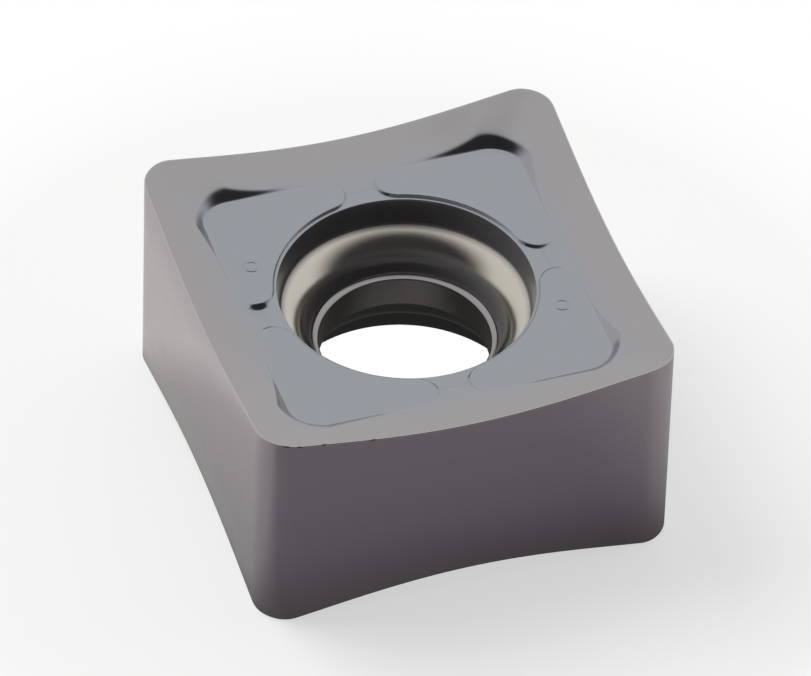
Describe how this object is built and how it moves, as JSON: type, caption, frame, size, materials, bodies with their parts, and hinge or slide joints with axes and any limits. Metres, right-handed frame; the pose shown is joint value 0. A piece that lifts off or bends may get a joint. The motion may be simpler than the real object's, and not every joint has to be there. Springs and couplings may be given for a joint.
{
  "type": "carbide milling insert",
  "caption": "Square double-sided indexable milling insert with raised cutting corners, level seating pads and a screw hole.",
  "frame": {"origin": "centre of the blank, on the hole's axis halfway between the two faces", "axes": "+Z along the screw hole, +X and +Y square to the flanks; the blank rests on its four lower corners"},
  "size_m": [0.0126, 0.0126, 0.007],
  "materials": {
    "insert": "satin mauve-grey vapour-deposited coating on ground and pressed carbide"
  },
  "bodies": {
    "root": {"insert": "insert"}
  },
  "joints": []
}
